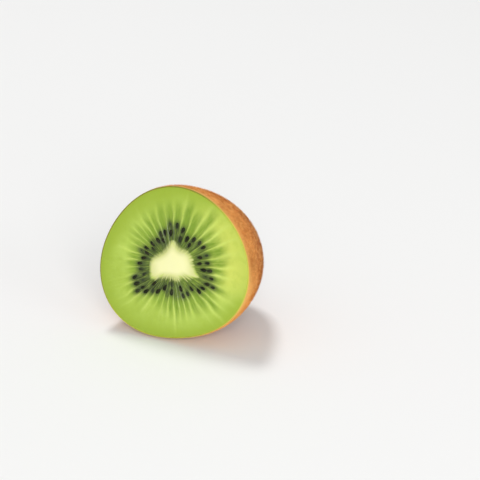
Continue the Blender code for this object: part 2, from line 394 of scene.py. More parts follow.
def chamber_marks(angle, radius, core):
    """How strongly jelly, dark streaks and pale rays show at places on the cut.

    Also gives where the chambers begin, from 0 in the core to 1 past its edge, and how far each is
    pressed in. Inside, across runs from 0 in a chamber's middle to 1 at its walls, and out from 0
    at the core's edge to 1 at the chamber's reach. Neighbours blend into each other at their wall.
    """
    sway = radial_noise(angle, radius, turns=5.0, steps=0.22, seed=9.0) * RAY_SWAY
    sway *= smooth(radius, 8 * MM, 15 * MM)
    turn = (angle + sway - walls[0]) % FULL_TURN + walls[0]
    wall_after = np.append(walls[1:], walls[0] + FULL_TURN)
    i = np.clip(np.searchsorted(walls, turn, side="right") - 1, 0, CHAMBERS - 1)
    half = (wall_after[i] - walls[i]) / 2
    across = np.abs((turn - walls[i]) / half - 1)
    out = (radius - core) / (reaches[i] - core)
    in_first_half = turn - walls[i] < half
    wall = np.where(in_first_half, i, (i + 1) % CHAMBERS)
    beside = np.where(in_first_half, i - 1, (i + 1) % CHAMBERS)
    share = across**2 / 2

    def blended(values):
        return values[i] * (1 - share) + values[beside] * share

    begin = smooth(out, -0.05, 0.07)
    jelly_end = blended(seed_ends)
    past_seeds = smooth(radius, jelly_end + JELLY_FADE_FROM, jelly_end + JELLY_FADE_TO)
    jelly_side = 1.76 - 0.72 * smooth((radius - core) / (jelly_end - core), 0.5, 1.35)
    jelly = begin * (1 - past_seeds) * blended(jelly_strength)
    jelly *= 1 - smooth(across, jelly_side - 0.6, jelly_side)

    streak_end = streak_length[i]
    streak = begin * (1 - smooth(out, streak_end - STREAK_FADE, streak_end))
    streak *= blended(streak_strength)
    narrower = 0.45 * smooth(out, 0.6, 1.05)
    streak *= 1 - smooth(across, 0.65 - narrower, 1.5 - narrower)

    from_wall = (1 - across) * half * radius
    line = RAY_START_WIDTH + RAY_WIDENING * smooth(radius, 10 * MM, 19 * MM)
    ray = np.exp(-((from_wall / (line * ray_width[wall])) ** 2)) * ray_strength[wall]
    ray *= 0.25 + 0.75 * past_seeds
    ray_end = ray_length[wall]
    ray *= smooth(out, -0.05, 0.2) * (1 - smooth(out, ray_end - RAY_FADE, ray_end))

    hollow = CHAMBER_HOLLOW * (1 - smooth(across, 0.6, 1.0)) * begin * (1 - smooth(out, 0.4, 1.0))
    return jelly, streak, ray, begin, hollow


def shape_cut(mesh):
    """Pushes the spun flesh or core to form, presses in the chambers, and marks the cut."""
    spots = get_spots(mesh)
    height = spots[:, 2]
    radius = np.hypot(spots[:, 0], spots[:, 1])
    angle = np.arctan2(spots[:, 1], spots[:, 0]) % FULL_TURN
    core = core_radius(angle)
    rim = section_radius(angle)
    in_core = (radius <= CORE_ROUND * 1.0001) & (height > -CORE_DEPTH * 1.01)
    on_cut = height > -0.05 * MM
    in_cut = core + (rim - core) * (radius - CORE_ROUND) / (FRUIT_RADIUS - CORE_ROUND)
    radius = np.where(in_core, core * radius / CORE_ROUND, np.where(on_cut, in_cut, radius))
    lean = STEM_LEAN * np.clip(-height / FRUIT_DEPTH, 0, 1)
    inner = np.stack([radius * np.cos(angle) + lean, radius * np.sin(angle), height], axis=1)
    made = np.where((in_core | on_cut)[:, None], inner, to_form(spots))

    jelly, streak, ray, begin, hollow = chamber_marks(angle, radius, core)
    relief = np.zeros(len(radius))
    cut = np.flatnonzero(on_cut)
    fibres = radial_noise(angle[cut], radius[cut], turns=26.0, steps=0.12, seed=3.0)
    relief[cut] = FIBRE_RELIEF * fibres * smooth(radius[cut], 3 * MM, 7 * MM)
    relief[cut] += CUT_WAVE * plain_noise(made[cut], size=6 * MM, seed=7.0)
    relief *= smooth(rim - radius, 0.2 * MM, 1.4 * MM)
    made[:, 2] += np.where(on_cut, relief - hollow, 0)

    near_core = np.flatnonzero(on_cut & (radius < core + 5 * MM))
    from_core = np.where(in_core & ~on_cut, 0.0, 20.0)
    from_core[near_core] = core_edge_distance(made[near_core, :2])
    from_core[near_core] *= np.sign(radius - core)[near_core]
    mark(mesh, "from_core", from_core)
    mark(mesh, "streak", streak * on_cut)
    mark(mesh, "jelly", jelly * on_cut)
    mark(mesh, "ray", ray * on_cut)
    mark(mesh, "seed_shade", seed_shade(made[:, 0], made[:, 1]) * on_cut * begin)
    mark(mesh, "from_skin", np.clip((rim - radius) / MM, 0, 20))
    set_spots(mesh, lay_down(made), FLESH_OFF_TABLE)
    return mesh


def node(tree, kind, inputs=(), **settings):
    """Adds a node. inputs pairs a socket's name or number with a value, or with another socket."""
    made = tree.nodes.new("ShaderNode" + kind)
    for name, value in settings.items():
        setattr(made, name, value)
    for name, value in dict(inputs).items():
        if isinstance(value, bpy.types.NodeSocket):
            tree.links.new(value, made.inputs[name])
        else:
            made.inputs[name].default_value = value
    return made


def maths(tree, operation, first, second=0.0):
    return node(tree, "Math", {0: first, 1: second}, operation=operation).outputs[0]


def times(tree, first, second):
    return maths(tree, "MULTIPLY", first, second)


def plus(tree, first, second):
    return maths(tree, "ADD", first, second)


def minus(tree, first, second):
    return maths(tree, "SUBTRACT", first, second)


def ramp(tree, value, start, end, low=0.0, high=1.0):
    """Runs smoothly from low to high while value goes from start to end."""
    spans = {"Value": value, "From Min": start, "From Max": end, "To Min": low, "To Max": high}
    return node(tree, "MapRange", spans, interpolation_type="SMOOTHSTEP").outputs[0]


def mixed(tree, share, first, second):
    """Two colours mixed by a share."""
    return node(tree, "Mix", {0: share, 6: first, 7: second}, data_type="RGBA").outputs[2]


def marked(tree, name):
    """A number that mark has kept on the mesh."""
    return node(tree, "Attribute", attribute_name=name).outputs["Fac"]


def speckle(tree, places, scale, detail=3.0, roughness=0.55):
    """Noise with scale lumps to a millimetre."""
    inputs = {"Vector": places, "Scale": scale, "Detail": detail, "Roughness": roughness}
    return node(tree, "TexNoise", inputs).outputs[0]


def new_material(name, **values):
    """A material whose fixed values are set on its shader, with the tree and shader to build on."""
    made = bpy.data.materials.new(name)
    made.use_nodes = True
    shader = made.node_tree.nodes["Principled BSDF"]
    for socket, value in values.items():
        shader.inputs[socket.replace("_", " ")].default_value = value
    return made, made.node_tree, shader


def add_bump(tree, shader, height, distance, strength):
    bump = node(tree, "Bump", {"Height": height, "Distance": distance, "Strength": strength})
    tree.links.new(bump.outputs[0], shader.inputs["Normal"])


def fruit_places(tree):
    """Places in the fruit's own frame, in millimetres: z along its axis, 0 at the cut."""
    turned = {"Vector": node(tree, "TexCoord").outputs["Object"], "Scale": (MM, MM, MM)}
    turned.update({"Location": cut_middle, "Rotation": laid.to_euler()})
    return node(tree, "Mapping", turned, vector_type="TEXTURE").outputs[0]


def split(tree, places):
    """The x, y and z of places."""
    return node(tree, "SeparateXYZ", {0: places}).outputs


def off_axis(tree, places):
    """The way straight out from the fruit's axis to places, and how far that is."""
    way = node(tree, "VectorMath", {0: places, 1: (1.0, 1.0, 0.0)}, operation="MULTIPLY").outputs[0]
    return way, node(tree, "VectorMath", {0: way}, operation="LENGTH").outputs["Value"]


def fanned(tree, places, turns, steps, detail):
    """Noise in long streaks from the fruit's axis, with no seam."""
    way, length = off_axis(tree, places)
    heading = node(tree, "VectorMath", {0: way}, operation="NORMALIZE").outputs[0]
    wide = node(tree, "VectorMath", {0: heading, "Scale": turns}, operation="SCALE").outputs[0]
    outwards = node(tree, "CombineXYZ", {2: times(tree, length, steps)}).outputs[0]
    streaks = node(tree, "VectorMath", {0: wide, 1: outwards}, operation="ADD").outputs[0]
    return speckle(tree, streaks, 1.0, detail)


# Where the flesh's green changes, and where its painted light and shade lie, in mm from the fruit's
# axis: y upwards and x to the right.
DEEP_GREEN_Y = 15.0
PAINTED_LIGHT_Y = 8.0
PAINTED_LIGHT_X = 22.0
RIM_SHADE_WIDTH = 6.5
SHADED_GREEN = (0.33, 0.455, 0.036, 1)
CLEAR_GREEN = (0.465, 0.62, 0.098, 1)
PAINTED_LIGHT_GREEN = (0.63, 0.70, 0.125, 1)
RIM_OLIVE = (0.42, 0.48, 0.045, 1)
STREAK_GREEN = (0.215, 0.345, 0.026, 1)
JELLY_GREEN = (0.090, 0.130, 0.029, 1)
SLIT_GREEN = (0.030, 0.048, 0.012, 1)
SEED_JELLY = (0.030, 0.045, 0.016, 1)
RAY_GREEN = (0.64, 0.77, 0.17, 1)
CORE_CREAM = (0.90, 0.89, 0.485, 1)
CORE_EDGE = (0.66, 0.69, 0.26, 1)


def flesh_colour(tree, places, strands, grain):
    """The solid flesh: deeper green above the core and along the rim, with painted shade towards the
    rim on the left and painted light on the right.
    """
    x, y, _ = split(tree, places)
    above = ramp(tree, maths(tree, "ABSOLUTE", minus(tree, y, DEEP_GREEN_Y)), 1.0, 12.0, 0.58, 0.0)
    above = times(tree, above, ramp(tree, maths(tree, "ABSOLUTE", x), 3.0, 13.0, 1.0, 0.0))
    # Painted shade: deeper green towards the rim on the lower left and on the upper left.
    low_left = times(tree, plus(tree, x, y), -0.7)
    high_left = times(tree, minus(tree, y, x), 0.7)
    painted_shade_by_rim = ramp(tree, low_left, 10.0, 18.0, 0.0, 0.32)
    painted_shade_by_rim = plus(tree, painted_shade_by_rim, ramp(tree, high_left, 15.0, 21.0, 0.0, 0.5))
    clouds = ramp(tree, speckle(tree, places, 0.14), 0.7, 0.3, 0.0, 0.2)
    shaded = plus(tree, clouds, plus(tree, above, painted_shade_by_rim))
    colour = mixed(tree, shaded, CLEAR_GREEN, SHADED_GREEN)
    # Painted light on the right: a paler, yellower green that fades out above and below.
    level = ramp(tree, maths(tree, "ABSOLUTE", minus(tree, y, PAINTED_LIGHT_Y)), 6.0, 20.0, 1.0, 0.0)
    painted_light_share = times(tree, ramp(tree, x, 0.0, PAINTED_LIGHT_X), level)
    colour = mixed(tree, painted_light_share, colour, PAINTED_LIGHT_GREEN)

    from_skin = marked(tree, "from_skin")
    inside_rim = ramp(tree, from_skin, 3.0, 9.0)
    light_strands = times(tree, ramp(tree, strands, 0.5, 0.72, 0.0, 0.25), inside_rim)
    colour = mixed(tree, light_strands, colour, RAY_GREEN)
    fans = fanned(tree, places, 5.0, 0.10, 1.0)
    dark_fans = times(tree, ramp(tree, fans, 0.5, 0.28, 0.0, 0.3), inside_rim)
    colour = mixed(tree, dark_fans, colour, STREAK_GREEN)
    mottle = speckle(tree, places, 0.42, 2.0)
    colour = mixed(tree, ramp(tree, mottle, 0.52, 0.38, 0.0, 0.14), colour, SHADED_GREEN)
    colour = mixed(tree, ramp(tree, grain, 0.62, 0.74, 0.0, 0.22), colour, RAY_GREEN)
    # The deeper green ring along the rim is weaker where the painted light falls on the right.
    outer_ring = ramp(tree, from_skin, 0.0, RIM_SHADE_WIDTH, 0.95, 0.0)
    outer_ring = times(tree, outer_ring, ramp(tree, painted_light_share, 0.0, 0.6, 1.0, 0.3))
    colour = mixed(tree, outer_ring, colour, SHADED_GREEN)
    return mixed(tree, ramp(tree, from_skin, 0.0, 1.0, 0.6, 0.0), colour, RIM_OLIVE)


def chamber_colour(tree, colour, fibres, grain):
    """A colour with the chambers' streaks, their slit jelly, the pale rays and the seeds' shade."""
    streak = times(tree, marked(tree, "streak"), ramp(tree, fibres, 0.65, 0.4, 0.7, 1.0))
    colour = mixed(tree, streak, colour, STREAK_GREEN)
    jelly = times(tree, marked(tree, "jelly"), ramp(tree, fibres, 0.64, 0.48, 0.55, 1.0))
    slit_jelly = mixed(tree, ramp(tree, fibres, 0.46, 0.33), JELLY_GREEN, SLIT_GREEN)
    colour = mixed(tree, jelly, colour, slit_jelly)
    ray = times(tree, marked(tree, "ray"), ramp(tree, grain, 0.3, 0.6, 0.7, 1.0))
    colour = mixed(tree, ray, colour, RAY_GREEN)
    return mixed(tree, times(tree, marked(tree, "seed_shade"), 0.8), colour, SEED_JELLY)


def core_colour(tree, colour, places, strands, fibres):
    """A colour with the cream core over it, whose edge frays most on its lower right."""
    x, y, _ = split(tree, places)
    _, from_axis = off_axis(tree, places)
    from_core = marked(tree, "from_core")
    fingers = plus(tree, times(tree, strands, 0.7), times(tree, fibres, 0.3))
    fray = ramp(tree, minus(tree, x, y), -4.0, 5.0, 1.2, 5.0)
    frayed = plus(tree, from_core, times(tree, minus(tree, fingers, 0.5), fray))
    frayed = plus(tree, frayed, ramp(tree, from_axis, 7.0, 9.8, 0.0, 0.8))
    dull_tips = ramp(tree, from_axis, 4.0, 8.5, 0.0, 0.85)
    dull = maths(tree, "MAXIMUM", ramp(tree, from_core, -1.8, 0.3), dull_tips)
    cream = mixed(tree, dull, CORE_CREAM, CORE_EDGE)
    return mixed(tree, ramp(tree, frayed, -0.5, 0.9, 1.0, 0.0), colour, cream)


def cut_material():
    """Moist cut fruit: the marks set the broad pattern, and fine radial fibres break it up."""
    made, tree, shader = new_material(
        "moist_cut",
        IOR=1.36,
        Subsurface_Weight=0.3,
        Subsurface_Scale=0.0014,
        Subsurface_Radius=(1.0, 1.0, 0.35),
        Coat_Weight=0.15,
        Coat_Roughness=0.25,
    )
    places = fruit_places(tree)
    fibres = fanned(tree, places, 24.0, 0.30, 3.0)
    strands = fanned(tree, places, 11.0, 0.15, 2.0)
    grain = speckle(tree, places, 1.3)
    colour = flesh_colour(tree, places, strands, grain)
    colour = chamber_colour(tree, colour, fibres, grain)
    colour = core_colour(tree, colour, places, strands, fibres)
    tree.links.new(colour, shader.inputs["Base Color"])
    wet_jelly = ramp(tree, marked(tree, "jelly"), 0.0, 0.8, 0.46, 0.26)
    tree.links.new(wet_jelly, shader.inputs["Roughness"])
    ridges = times(tree, fibres, ramp(tree, marked(tree, "from_core"), -2.0, 0.5))
    add_bump(tree, shader, plus(tree, ridges, times(tree, grain, 0.5)), 0.12 * MM, 0.7)
    return made


cut_finish = cut_material()
hollow_levels = np.linspace(1.0, 0.0, 7)
hollow = np.stack([CORE_ROUND * (1 - hollow_levels**2), -CORE_DEPTH * hollow_levels], axis=1)
flesh_rim = FRUIT_RADIUS - SKIN_THICKNESS
cut_radii = np.linspace(CORE_ROUND, flesh_rim - 0.2 * MM, CUT_RINGS)[1:]
cut_rings = np.stack([cut_radii, np.zeros(len(cut_radii))], axis=1)
rim_round = [(flesh_rim - 0.06 * MM, -0.06 * MM), (flesh_rim, -0.2 * MM)]
flesh_side = side_profile(np.radians(np.linspace(6, 90, 15)), SKIN_THICKNESS)
flesh_side[-1, 0] = 0.0
flesh_side[:, 1] += SCAR_ROOM_DEPTH * (flesh_side[:, 0] < SCAR_ROOM_RADIUS)
flesh_mesh = spun_mesh("flesh_cut", [*hollow, *cut_rings, *rim_round, *flesh_side], CUT_SPOKES)
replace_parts(finish_piece(shape_cut(flesh_mesh), cut_finish), "flesh")

# The core. A pale, woody spindle that grows through the middle of the fruit. The knife cuts it
# level with the flesh, and its edge frays into the flesh along fine pale fibres.
CORE_CROWN = 0.2 * MM
core_radii = np.linspace(CORE_ROUND, 0.0, 27)[1:]
core_face = np.stack([core_radii, CORE_CROWN * (1 - (core_radii / CORE_ROUND) ** 2)], axis=1)
core_mesh = spun_mesh("core_cut", [*hollow, *core_face], CUT_SPOKES)
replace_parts(finish_piece(shape_cut(core_mesh), cut_finish), "core")

# The seeds. Small hard drops, near black and glossy, each lying in its chamber with its point
# towards the core. The knife has bared most of them, and a film of jelly still veils the others.
SEED_LENGTH = 2.4 * MM
SEED_WIDTH = 1.45 * MM
SEED_HEIGHT = 1.1 * MM
VEILED_LEVEL = -0.66 * MM
BARED_LEVEL = -0.26 * MM
SEED_LEVEL_SPREAD = 0.05 * MM
SEED_SIZES = (0.74, 1.0)
SEED_BLACK = (0.007, 0.010, 0.003, 1)
SEED_BROWN = (0.022, 0.020, 0.006, 1)
VEILED_SEED = (0.050, 0.070, 0.028, 1)


def seed_drop():
    """One seed: a ball drawn out along X, full at its outer end and narrowed towards the core."""
    shape = bmesh.new()
    along_x = Matrix.Rotation(math.pi / 2, 4, "Y")
    bmesh.ops.create_uvsphere(shape, u_segments=16, v_segments=12, radius=1.0, matrix=along_x)
    for vertex in shape.verts:
        along = vertex.co.x
        narrow = 0.80 + 0.26 * along - 0.12 * along * along
        across, up = SEED_WIDTH / 2 * narrow, SEED_HEIGHT / 2 * narrow
        vertex.co = Vector((along * SEED_LENGTH / 2, vertex.co.y * across, vertex.co.z * up))
    bmesh.ops.recalc_face_normals(shape, faces=shape.faces)
    mesh = bpy.data.meshes.new("seed_drop")
    shape.to_mesh(mesh)
    shape.free()
    return mesh


def seed_material():
    """Hard, pitted and near black, with the jelly's green over a veiled seed."""
    made, tree, shader = new_material("seed_shell", Roughness=0.4, Specular_IOR_Level=0.16)
    places = fruit_places(tree)
    tone = speckle(tree, places, 0.9)
    colour = mixed(tree, ramp(tree, tone, 0.35, 0.7), SEED_BLACK, SEED_BROWN)
    colour = mixed(tree, marked(tree, "veil"), colour, VEILED_SEED)
    tree.links.new(colour, shader.inputs["Base Color"])
    pits = node(tree, "TexVoronoi", {"Vector": places, "Scale": 6.0}).outputs["Distance"]
    add_bump(tree, shader, pits, 0.03 * MM, 0.4)
    return made


drop = seed_drop()
seed_draw = random.Random(RANDOM_SEED + 2)
seed_shape = bmesh.new()
seed_veils = []
for seed_radius, seed_angle, seed_turn, bared in seeds:
    seed_level = VEILED_LEVEL + (BARED_LEVEL - VEILED_LEVEL) * bared
    seed_level += seed_draw.uniform(-1, 1) * SEED_LEVEL_SPREAD
    spot = (seed_radius * math.cos(seed_angle), seed_radius * math.sin(seed_angle), seed_level)
    size = Matrix.Scale(seed_draw.uniform(*SEED_SIZES), 4)
    place = laid @ Matrix.Translation(spot) @ Matrix.Rotation(seed_turn, 4, "Z") @ size
    placed = drop.copy()
    placed.transform(place)
    seed_shape.from_mesh(placed)
    seed_veils += [1 - bared] * len(placed.vertices)
    bpy.data.meshes.remove(placed)
bpy.data.meshes.remove(drop)
seed_mesh = bpy.data.meshes.new("seeds")
seed_shape.to_mesh(seed_mesh)
seed_shape.free()
mark(seed_mesh, "veil", np.array(seed_veils))
finish_piece(seed_mesh, seed_material())

# The skin. A thin, dry, brown shell round the flesh, matt and finely grained, which the knife
# leaves on. Its cut edge shows as a thin line round the green.
SKIN_SPOKES = 480
SKIN_GRAIN = 0.05 * MM
SKIN_LUMP = 0.14 * MM
SKIN_END_THICKER = 1.0 * MM
# The skin's cut edge: how far in from the outside and how far below the cut, in mm.
SKIN_RIM = ((0.30, 0.20), (0.21, 0.03), (0.11, 0.02), (0.02, 0.12), (0.0, 0.28))
STEM_END = -0.8 * FRUIT_DEPTH
SCAR_RADIUS = 5.2 * MM
SCAR_SEAT = 0.5 * MM
# The relief round the stem's scar: radii, each with how far the skin stands out there, in mm.
SCAR_LIFTS = (
    (0.0, 0.4),
    (1.2, 0.2),
    (2.4, -0.3),
    (3.6, 0.3),
    (4.4, 0.1),
    (5.0, -0.2),
    (5.6, -0.05),
    (6.4, 0.0),
)
SKIN_BROWN = (0.46, 0.16, 0.033, 1)
SKIN_TAN = (0.68, 0.27, 0.062, 1)
SKIN_DARK = (0.24, 0.070, 0.016, 1)
DEEP_BROWN = (0.235, 0.098, 0.056, 1)
PAINTED_LIGHT_TAN = (0.90, 0.50, 0.14, 1)
EDGE_YELLOW = (0.70, 0.41, 0.10, 1)
EDGE_OLIVE = (0.26, 0.25, 0.035, 1)
EDGE_GREEN = (0.55, 0.57, 0.075, 1)
SKIN_SHEEN = (1.0, 0.5, 0.18, 1)


def scar_lift(radius):
    """How far the relief round the stem's scar stands out from the fruit's end."""
    radii, lifts = np.array(SCAR_LIFTS).T
    return np.interp(radius / MM, radii, lifts) * MM


def skin_tone_and_painted_light(tree, places, colour):
    """A colour of the skin, with painted light by the cut, most of all low down, and a deeper brown
    by the stem end.
    """
    _, y, z = split(tree, places)
    # Painted light: pale tan by the cut, strongest low down, where the table would throw light up
    # onto the skin.
    pale = times(tree, ramp(tree, z, -16.0, -1.0), ramp(tree, y, 8.0, -14.0, 0.3, 0.95))
    colour = mixed(tree, pale, colour, PAINTED_LIGHT_TAN)
    return mixed(tree, ramp(tree, z, -8.0, -30.0, 0.0, 0.5), colour, DEEP_BROWN)


def skin_material():
    """Dry grained skin, yellow where it thins towards the cut, with a line of green at the edge."""
    made, tree, shader = new_material(
        "skin",
        Roughness=0.85,
        Specular_IOR_Level=0.25,
        Sheen_Weight=0.15,
        Sheen_Roughness=0.5,
        Sheen_Tint=SKIN_SHEEN,
    )
    places = fruit_places(tree)
    stretched = node(tree, "Mapping", {"Vector": places, "Scale": (1.0, 1.0, 0.4)}).outputs[0]
    grain = speckle(tree, stretched, 2.0, 4.0, 0.65)
    colour = mixed(tree, ramp(tree, speckle(tree, places, 0.16), 0.3, 0.7), SKIN_BROWN, SKIN_TAN)
    colour = mixed(tree, ramp(tree, grain, 0.52, 0.36, 0.0, 0.45), colour, SKIN_DARK)
    colour = skin_tone_and_painted_light(tree, places, colour)

    x, y, _ = split(tree, places)
    from_cut = marked(tree, "from_cut")
    patches = times(tree, speckle(tree, places, 0.35, 2.0), 5.0)
    ragged = plus(tree, from_cut, plus(tree, grain, patches))
    ragged = minus(tree, ragged, ramp(tree, y, -2.0, -18.0, 0.0, 4.0))
    colour = mixed(tree, ramp(tree, ragged, 2.4, 5.6, 0.9, 0.0), colour, EDGE_YELLOW)
    edge = mixed(tree, ramp(tree, minus(tree, x, y), -20.0, 4.0), EDGE_OLIVE, EDGE_GREEN)
    colour = mixed(tree, ramp(tree, from_cut, 0.1, 0.7, 1.0, 0.0), colour, edge)
    by_scar = ramp(tree, marked(tree, "from_scar"), 0.0, 4.0, 0.8, 0.0)
    colour = mixed(tree, by_scar, colour, SKIN_DARK)
    tree.links.new(colour, shader.inputs["Base Color"])
    add_bump(tree, shader, grain, 0.2 * MM, 0.6)
    return made


outer_turns = np.radians(np.concatenate([np.linspace(3, 78, 78), np.linspace(79, 90, 26)]))
outer = side_profile(outer_turns)
under_scar = smooth(outer[:, 0], SCAR_RADIUS, SCAR_RADIUS - 1.0 * MM)
outer[:, 1] -= scar_lift(outer[:, 0]) - SCAR_SEAT * under_scar
outer[-1, 0] = 0.0
inner = side_profile(np.radians(np.linspace(90, 6, 10)), SKIN_THICKNESS)
inner[0, 0] = 0.0
inner[:, 1] += SKIN_END_THICKER * (inner[:, 0] < SCAR_ROOM_RADIUS)
skin_rim = [(FRUIT_RADIUS - inwards * MM, -below * MM) for inwards, below in SKIN_RIM]
skin_mesh = spun_mesh("skin", [*inner, *skin_rim, *outer], SKIN_SPOKES)
round_skin = get_spots(skin_mesh)
skin_spots = to_form(round_skin)
skin_radius = np.hypot(round_skin[:, 0], round_skin[:, 1])
side_share = (skin_radius / FRUIT_RADIUS) ** END_POWER
end_depth = np.clip((-round_skin[:, 2] - scar_lift(skin_radius)) / FRUIT_DEPTH, 0, 1)
outside = np.abs(side_share + end_depth**SIDE_POWER - 1) < 0.008
heading = skin_spots / np.maximum(np.linalg.norm(skin_spots, axis=1), MM)[:, None]
grain = plain_noise(skin_spots, size=0.7 * MM, seed=1.0) * SKIN_GRAIN
grain += plain_noise(skin_spots, size=6 * MM, seed=4.0) * SKIN_LUMP
skin_spots += heading * (grain * outside * smooth(-round_skin[:, 2], 0.0, 2 * MM))[:, None]
mark(skin_mesh, "from_cut", -round_skin[:, 2] / MM)
at_end = round_skin[:, 2] < STEM_END
mark(skin_mesh, "from_scar", np.where(at_end, (skin_radius - SCAR_RADIUS) / MM, 20.0))
set_spots(skin_mesh, lay_down(skin_spots), np.where(outside, 0.0, SKIN_THICKNESS))
finish_piece(skin_mesh, skin_material())

# The stem scar. A corky ring where the fruit hung from its stem, wrinkled and darker than the
# skin, round a hard woody button. It grows from the middle of the round end.
SCAR_SPOKES = 240
SCAR_SINK = 0.1 * MM
SCAR_WRINKLE = 0.28 * MM
SCAR_WOBBLE = 0.16
# The scar's own form: radii, each with how far it stands out there, in mm.
SCAR_FORM = (
    (0.0, 0.8),
    (0.5, 0.9),
    (1.0, 0.7),
    (1.3, 0.0),
    (2.2, -0.3),
    (3.0, 0.15),
    (3.8, 0.35),
    (4.5, 0.2),
    (5.2, -0.25),
)
CORK_DARK = (0.11, 0.043, 0.014, 1)
CORK_BROWN = (0.25, 0.10, 0.032, 1)
CORK_RIDGE = (0.30, 0.13, 0.042, 1)
CORK_GROOVE = (0.045, 0.017, 0.007, 1)
CORK_CRUMBS = (0.40, 0.20, 0.07, 1)
BUTTON_WOOD = (0.20, 0.095, 0.036, 1)
SCAR_EDGE = (0.27, 0.095, 0.024, 1)


def scar_material():
    """Crumbly cork, dark in its folds and grooves, that turns to the skin's brown at its edge."""
    made, tree, shader = new_material("scar_cork", Roughness=0.92)
    places = fruit_places(tree)
    folds = fanned(tree, places, 2.5, 1.2, 4.0)
    crumbs = speckle(tree, places, 2.2, 4.0, 0.65)
    lift = marked(tree, "lift")
    from_middle = marked(tree, "from_middle")
    colour = mixed(tree, ramp(tree, folds, 0.38, 0.62), CORK_DARK, CORK_BROWN)
    colour = mixed(tree, ramp(tree, lift, 0.0, 0.7, 0.0, 0.6), colour, CORK_RIDGE)
    colour = mixed(tree, ramp(tree, lift, 0.1, -0.5, 0.0, 0.8), colour, CORK_GROOVE)
    colour = mixed(tree, ramp(tree, crumbs, 0.52, 0.7, 0.0, 0.5), colour, CORK_CRUMBS)
    colour = mixed(tree, ramp(tree, from_middle, 0.9, 1.4, 0.5, 0.0), colour, BUTTON_WOOD)
    colour = mixed(tree, ramp(tree, from_middle, 3.6, 5.2, 0.0, 0.8), colour, SCAR_EDGE)
    tree.links.new(colour, shader.inputs["Base Color"])
    add_bump(tree, shader, plus(tree, folds, crumbs), 0.25 * MM, 0.8)
    return made


scar_radii = np.linspace(0.0, SCAR_RADIUS, 34)
scar_depth = FRUIT_DEPTH * (1 - (scar_radii / FRUIT_RADIUS) ** END_POWER) ** (1 / SIDE_POWER)
form_radii, form_lifts = np.array(SCAR_FORM).T * MM
scar_height = -scar_depth - np.interp(scar_radii, form_radii, form_lifts) - SCAR_SINK
scar_top = np.stack([scar_radii, scar_height], axis=1)
scar_base = [(SCAR_RADIUS + 0.05 * MM, scar_height[-1] + 0.3 * MM), (0.0, -FRUIT_DEPTH + 0.4 * MM)]
scar_mesh = spun_mesh("stem_scar", [*scar_top, *scar_base], SCAR_SPOKES)
scar_round = get_spots(scar_mesh)
scar_radius = np.hypot(scar_round[:, 0], scar_round[:, 1])
scar_angle = np.arctan2(scar_round[:, 1], scar_round[:, 0])
wrinkle = radial_noise(scar_angle, scar_radius, turns=2.0, steps=0.9, seed=2.0)
wrinkle += 0.8 * radial_noise(scar_angle, scar_radius, turns=9.0, steps=0.8, seed=5.0)
on_top = scar_round[:, 2] < -FRUIT_DEPTH + 0.9 * MM
inside_edge = 1 - smooth(scar_radius, 4.5 * MM, SCAR_RADIUS)
wrinkle *= on_top * smooth(scar_radius, 0.2 * MM, 1.0 * MM) * inside_edge
scar_round[:, 2] -= wrinkle * SCAR_WRINKLE
wobble = radial_noise(scar_angle, scar_radius, turns=1.2, steps=0.0, seed=13.0)
scar_round[:, :2] *= 1 + SCAR_WOBBLE * wobble[:, None]
mark(scar_mesh, "from_middle", scar_radius / MM)
mark(scar_mesh, "lift", np.interp(scar_radius, form_radii, form_lifts) / MM + wrinkle * 0.6)
set_spots(scar_mesh, lay_down(to_form(scar_round)), 0.0)
finish_piece(scar_mesh, scar_material())

# The fuzz. Short brown hairs that grow from the skin all over, in tufts of like tone, leaning
# loosely towards the cut and shorter beside it. The knife and the table leave none on the cut or
# under the fruit, and few grow over the edge of the scar.
HAIRS = 100000
HAIR_LENGTHS = (0.6 * MM, 1.7 * MM)
HAIR_REACH = 0.62 * MM
HAIR_RADIUS = 0.021 * MM
HAIR_ROOT = 0.12 * MM
HAIR_LEANS = (30, 76)
HAIR_TUFT = 0.9 * MM
TUFT_STRETCH = 0.45
TUFT_CONTRAST = 1.1
TONE_SPREAD = 0.16
COMB_SWIRL = 1.2
COMB_SPREAD = 0.35
SHORT_BY_CUT = 0.25
FULL_LENGTH_FROM = 4.0 * MM
TIP_BELOW_CUT = 0.3 * MM
HAIR_CORNERS = (0, 2.1, 4.2)
HAIR_SIDES = np.array([(0, 1, 3), (1, 2, 3), (2, 0, 3), (2, 1, 0)])
HAIR_PIECES = 3
HAIR_BROWN = (0.45, 0.145, 0.029, 1)
HAIR_TIP = (0.86, 0.395, 0.098, 1)
HAIR_PALE = (0.95, 0.59, 0.21, 1)
HAIR_DARK = (0.42, 0.108, 0.021, 1)


def unit(rows):
    """Rows scaled to length 1."""
    return rows / np.linalg.norm(rows, axis=1)[:, None]


def hair_roots(draw):
    """Places spread evenly over the skin, with the ways out, towards the cut and round at each."""
    turns = np.radians(np.linspace(0.5, 89.5, 300))
    radius, height = side_profile(turns).T
    belts = np.hypot(np.diff(radius), np.diff(height)) * radius[1:]
    share = np.concatenate([[0], np.cumsum(belts) / belts.sum()])
    turn = np.interp(draw.uniform(size=HAIRS), share, turns)
    angle = draw.uniform(0, FULL_TURN, HAIRS)
    root = on_skin(turn, angle)
    step = 0.002
    to_cut = unit(on_skin(turn - step, angle) - root)
    around = unit(on_skin(turn, angle + step) - root)
    return root, unit(np.cross(around, to_cut)), to_cut, around


def fuzz_material():
    """Dry brown hairs with pale tips, some lighter and some darker by tufts."""
    made, tree, shader = new_material("fuzz", Roughness=0.6, Specular_IOR_Level=0.2)
    tone = marked(tree, "tone")
    colour = mixed(tree, marked(tree, "tip"), HAIR_BROWN, HAIR_TIP)
    colour = mixed(tree, ramp(tree, tone, 0.35, 0.95, 0.0, 0.8), colour, HAIR_PALE)
    colour = mixed(tree, ramp(tree, tone, 0.5, 0.05, 0.0, 0.7), colour, HAIR_DARK)
    # The hairs take the skin's painted light by the cut and its deeper brown by the stem end.
    colour = skin_tone_and_painted_light(tree, fruit_places(tree), colour)
    tree.links.new(colour, shader.inputs["Base Color"])
    return made


